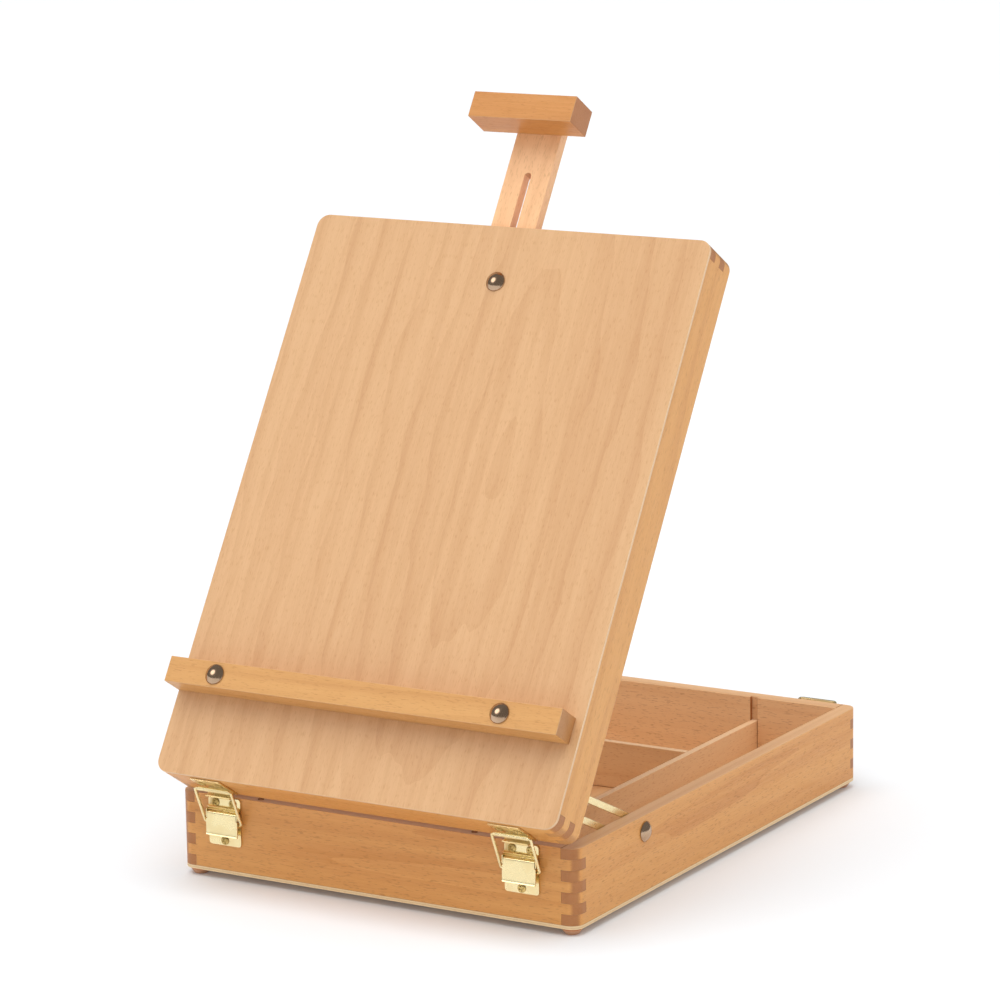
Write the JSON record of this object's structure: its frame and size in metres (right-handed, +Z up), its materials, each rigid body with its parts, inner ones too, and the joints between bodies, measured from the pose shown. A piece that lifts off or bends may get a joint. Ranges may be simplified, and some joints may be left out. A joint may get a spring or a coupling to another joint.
{
  "type": "wooden table easel",
  "caption": "Folding sketch-box easel in beech: a finger-jointed paint box whose hinged lid tilts up as a painting board with a canvas ledge and a sliding mast.",
  "frame": {"origin": "on the table, under the middle of the easel's outline as drawn", "axes": "+X to the right along the front of the box, +Y to the back, +Z up; drawn with the lid tilted 57.9 degrees"},
  "size_m": [0.3258, 0.4836, 0.5306],
  "materials": {
    "beech": "satin lacquered beech",
    "beech_panel": "satin lacquered beech, grain running up the board",
    "plywood": "pale plywood, thin lacquer",
    "foot_wood": "turned, stained and lacquered",
    "brass": "brass-plated pressed sheet and wire, bright",
    "nickel": "nickel-plated, polished"
  },
  "bodies": {
    "box": {"box_front_wall": "beech", "box_rear_wall": "beech", "box_left_wall": "beech", "box_right_wall": "beech", "box_bottom_panel": "plywood", "main_divider": "beech", "cross_divider": "beech", "locating_pin_left": "nickel", "locating_pin_right": "nickel", "foot_front_left": "foot_wood", "foot_front_right": "foot_wood", "foot_rear_left": "foot_wood", "foot_rear_right": "foot_wood", "latch_base_front_left": "brass", "latch_base_front_right": "brass", "latch_base_rear_left": "brass", "latch_base_rear_right": "brass", "side_bolt_left": "nickel", "side_bolt_right": "nickel"},
    "lid": {"lid_front_rail": "beech", "lid_rear_rail": "beech", "lid_left_rail": "beech", "lid_right_rail": "beech", "lid_panel": "beech_panel", "canvas_ledge": "beech", "ledge_bolt_left": "nickel", "ledge_bolt_right": "nickel", "ledge_nut_left": "nickel", "ledge_nut_right": "nickel", "mast_bolt": "nickel", "latch_catch_front_left": "brass", "latch_catch_front_right": "brass", "latch_catch_rear_left": "brass", "latch_catch_rear_right": "brass", "arm_pivot_left": "brass", "arm_pivot_right": "brass"},
    "mast": {"mast": "beech", "mast_head": "beech", "mast_head_screw_left": "nickel", "mast_head_screw_right": "nickel"},
    "mast_wing_nut": {"mast_wing_nut": "nickel"},
    "arm_left": {"arm_left": "brass"},
    "side_wing_nut_left": {"side_wing_nut_left": "nickel"},
    "arm_right": {"arm_right": "brass"},
    "side_wing_nut_right": {"side_wing_nut_right": "nickel"},
    "latch_lever_front_left": {"latch_lever_front_left": "brass"},
    "latch_bail_front_left": {"latch_bail_front_left": "brass"},
    "latch_lever_front_right": {"latch_lever_front_right": "brass"},
    "latch_bail_front_right": {"latch_bail_front_right": "brass"},
    "latch_lever_rear_left": {"latch_lever_rear_left": "brass"},
    "latch_bail_rear_left": {"latch_bail_rear_left": "brass"},
    "latch_lever_rear_right": {"latch_lever_rear_right": "brass"},
    "latch_bail_rear_right": {"latch_bail_rear_right": "brass"}
  },
  "joints": [
    {"name": "lid_tilt", "type": "hinge", "parent": "box", "child": "lid", "pos_m": [0, -0.2149, 0.0626], "axis": [1, 0, 0], "range_deg": [-57.9, 7.1]},
    {"name": "mast_slide", "type": "slide", "parent": "lid", "child": "mast", "axis": [0, 0.5314, 0.8471], "range_m": [-0.0715, 0.235]},
    {"name": "mast_wing_nut_turn", "type": "hinge", "parent": "lid", "child": "mast_wing_nut", "pos_m": [0, -0.03021, 0.39898], "axis": [0, -0.8471, 0.5314], "range_deg": [0, 360]},
    {"name": "arm_left_pivot", "type": "hinge", "parent": "lid", "child": "arm_left", "pos_m": [-0.14595, -0.20984, 0.09343], "axis": [1, 0, 0], "range_deg": [-7.4, 60.2]},
    {"name": "side_wing_nut_left_turn", "type": "hinge", "parent": "box", "child": "side_wing_nut_left", "pos_m": [-0.1446, -0.11879, 0.0495], "axis": [-1, 0, 0], "range_deg": [0, 360]},
    {"name": "arm_right_pivot", "type": "hinge", "parent": "lid", "child": "arm_right", "pos_m": [0.14595, -0.20984, 0.09343], "axis": [1, 0, 0], "range_deg": [-7.4, 60.2]},
    {"name": "side_wing_nut_right_turn", "type": "hinge", "parent": "box", "child": "side_wing_nut_right", "pos_m": [0.1446, -0.11879, 0.0495], "axis": [1, 0, 0], "range_deg": [0, 360]},
    {"name": "latch_lever_front_left_lift", "type": "hinge", "parent": "box", "child": "latch_lever_front_left", "pos_m": [-0.121, -0.21619, 0.0488], "axis": [-1, 0, 0], "range_deg": [0, 95]},
    {"name": "latch_bail_front_left_swing", "type": "hinge", "parent": "box", "child": "latch_bail_front_left", "pos_m": [-0.121, -0.21569, 0.0425], "axis": [1, 0, 0], "range_deg": [-23.2, 2.9]},
    {"name": "latch_lever_front_right_lift", "type": "hinge", "parent": "box", "child": "latch_lever_front_right", "pos_m": [0.1175, -0.21619, 0.0488], "axis": [-1, 0, 0], "range_deg": [0, 95]},
    {"name": "latch_bail_front_right_swing", "type": "hinge", "parent": "box", "child": "latch_bail_front_right", "pos_m": [0.1175, -0.21569, 0.0425], "axis": [1, 0, 0], "range_deg": [-23.2, 2.9]},
    {"name": "latch_lever_rear_left_lift", "type": "hinge", "parent": "box", "child": "latch_lever_rear_left", "pos_m": [-0.1115, 0.2136, 0.0488], "axis": [1, 0, 0], "range_deg": [0, 95]},
    {"name": "latch_bail_rear_left_swing", "type": "hinge", "parent": "latch_lever_rear_left", "child": "latch_bail_rear_left", "pos_m": [-0.1115, 0.2131, 0.0425], "axis": [-1, 0, 0], "range_deg": [-69, 106]},
    {"name": "latch_lever_rear_right_lift", "type": "hinge", "parent": "box", "child": "latch_lever_rear_right", "pos_m": [0.1115, 0.2136, 0.0488], "axis": [1, 0, 0], "range_deg": [0, 95]},
    {"name": "latch_bail_rear_right_swing", "type": "hinge", "parent": "latch_lever_rear_right", "child": "latch_bail_rear_right", "pos_m": [0.1115, 0.2131, 0.0425], "axis": [-1, 0, 0], "range_deg": [-69, 106]}
  ],
  "couplings": [
    {"joint": "arm_left_pivot", "follows": "lid_tilt", "ratio": -1.0389},
    {"joint": "arm_right_pivot", "follows": "lid_tilt", "ratio": -1.0389},
    {"joint": "latch_bail_front_left_swing", "follows": "lid_tilt", "ratio": 0.4},
    {"joint": "latch_bail_front_right_swing", "follows": "lid_tilt", "ratio": 0.4}
  ]
}
